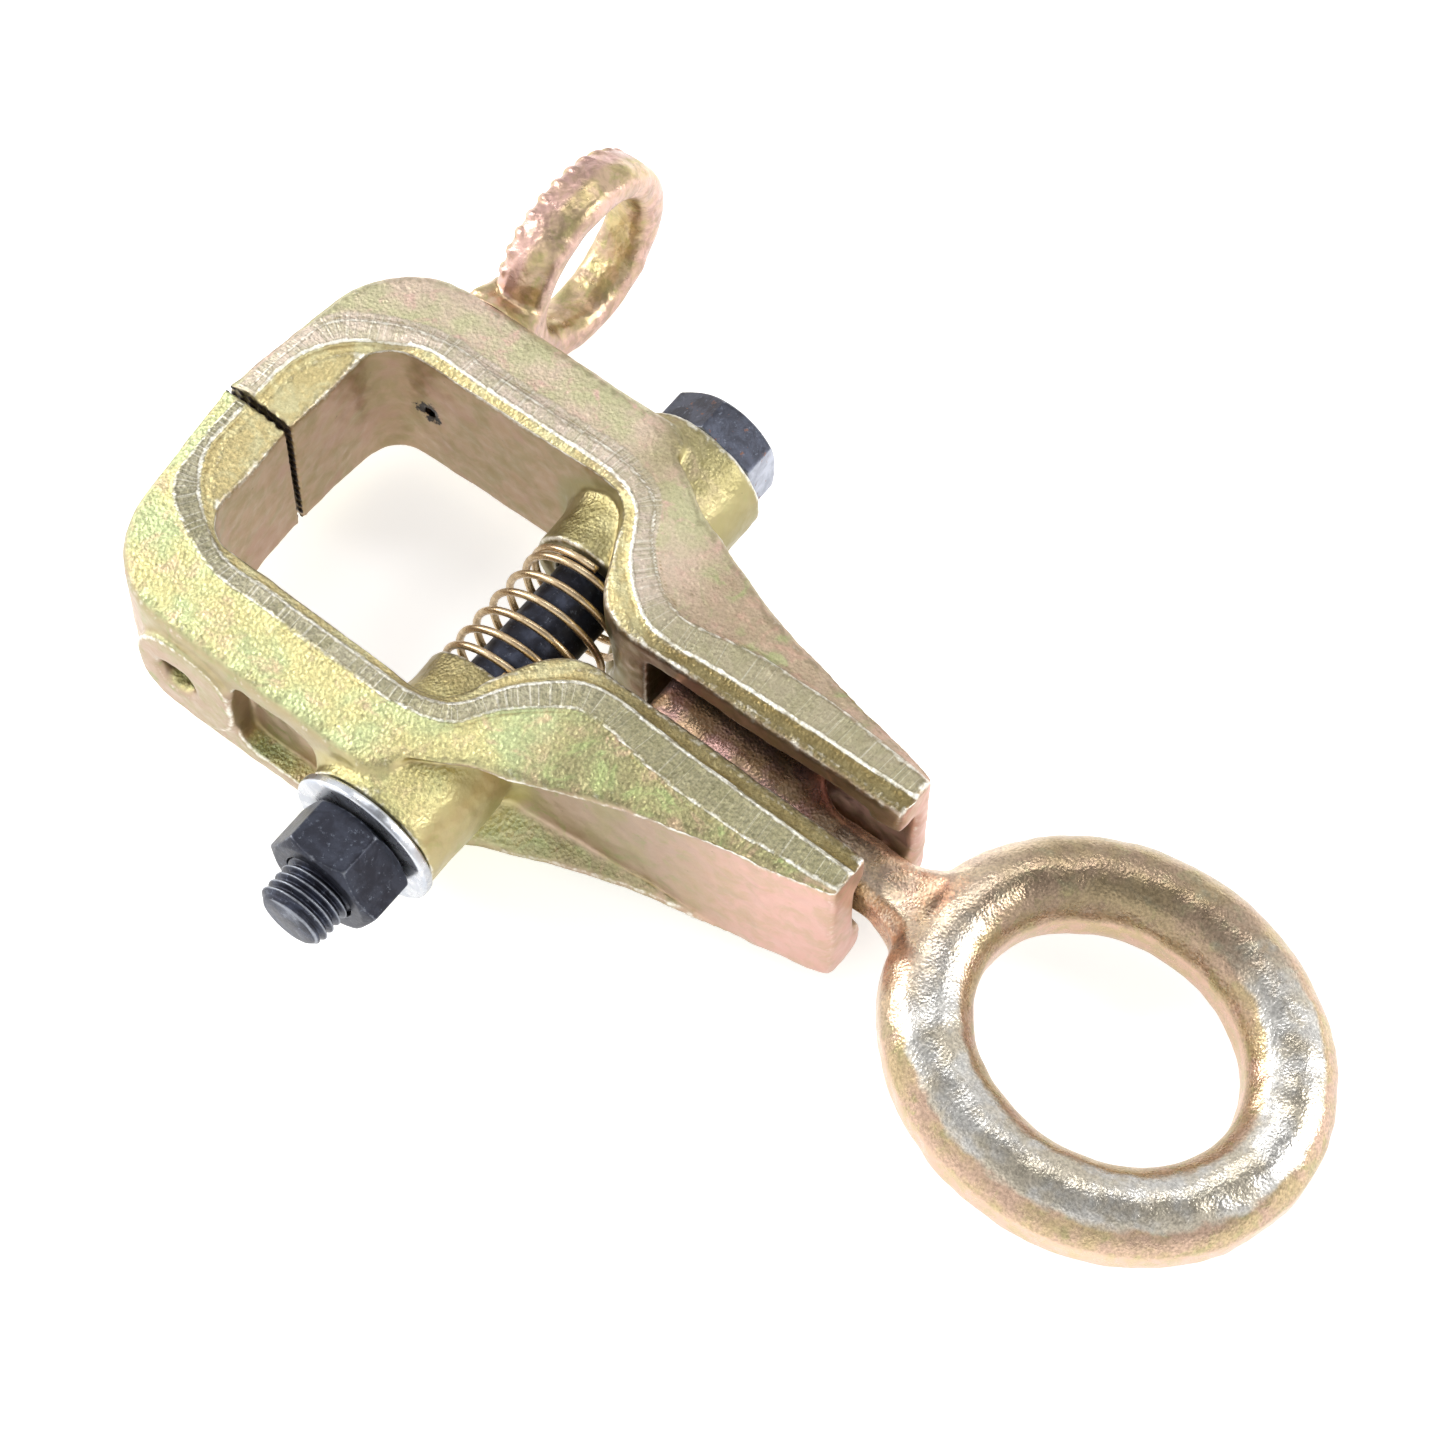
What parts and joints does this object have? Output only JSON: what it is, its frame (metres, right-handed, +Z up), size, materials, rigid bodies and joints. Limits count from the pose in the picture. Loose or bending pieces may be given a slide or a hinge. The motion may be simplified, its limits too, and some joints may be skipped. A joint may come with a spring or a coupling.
{
  "type": "two-way pull clamp",
  "caption": "Self-tightening pull clamp: two forged toothed jaws on a spring-spread cross bolt, closed by a wedge-headed ring link, with a side pull eye.",
  "frame": {"origin": "centre of the bounding box at its lowest plane, under the window between the jaws and the ring", "axes": "+X from the toothed nose towards the pull ring, +Y along the cross bolt towards its head, +Z up, square to the jaws' flat plane"},
  "size_m": [0.2714, 0.1833, 0.0491],
  "materials": {
    "yellow_zinc": "forged steel with yellow chromate zinc plating",
    "link_zinc": "forged steel with yellow chromate zinc plating, copper-tinted head",
    "eye_zinc": "forged steel with yellow chromate zinc plating",
    "black_oxide_bolt": "black oxide, edges worn bright",
    "black_oxide_nut": "black oxide",
    "bright_zinc": "bright zinc",
    "spring_wire": "bronze-toned spring wire"
  },
  "bodies": {
    "far_half": {"far_jaw": "yellow_zinc", "clamp_bolt": "black_oxide_bolt", "return_spring": "spring_wire"},
    "near_half": {"near_jaw": "yellow_zinc"},
    "washer": {"flat_washer": "bright_zinc"},
    "nut": {"clamp_nut": "black_oxide_nut"},
    "link": {"pull_link": "link_zinc"},
    "eye": {"side_eye": "eye_zinc"}
  },
  "joints": [
    {"name": "near_jaw_swing", "type": "hinge", "parent": "far_half", "child": "near_half", "pos_m": [0.018, -0.0244, 0.02456], "axis": [0, 0, 1], "range_deg": [0, 5], "deforming": ["return_spring"]},
    {"name": "nut_travel", "type": "slide", "parent": "far_half", "child": "washer", "axis": [0, -1, 0], "range_m": [0, 0.0078]},
    {"name": "nut_turn", "type": "hinge", "parent": "washer", "child": "nut", "pos_m": [-0.05385, -0.0695, 0.02456], "axis": [0, -1, 0], "range_deg": [0, 1390]},
    {"name": "link_slide", "type": "slide", "parent": "far_half", "child": "link", "axis": [1, 0, 0], "range_m": [-0.0025, 0.005]},
    {"name": "side_eye_swivel", "type": "hinge", "parent": "far_half", "child": "eye", "pos_m": [-0.1071, 0.0393, 0.02456], "axis": [0, 1, 0], "continuous": true}
  ],
  "couplings": [
    {"joint": "nut_travel", "follows": "near_jaw_swing", "m_per_rad": 0.0881},
    {"joint": "nut_turn", "follows": "near_jaw_swing", "ratio": 276.77}
  ]
}
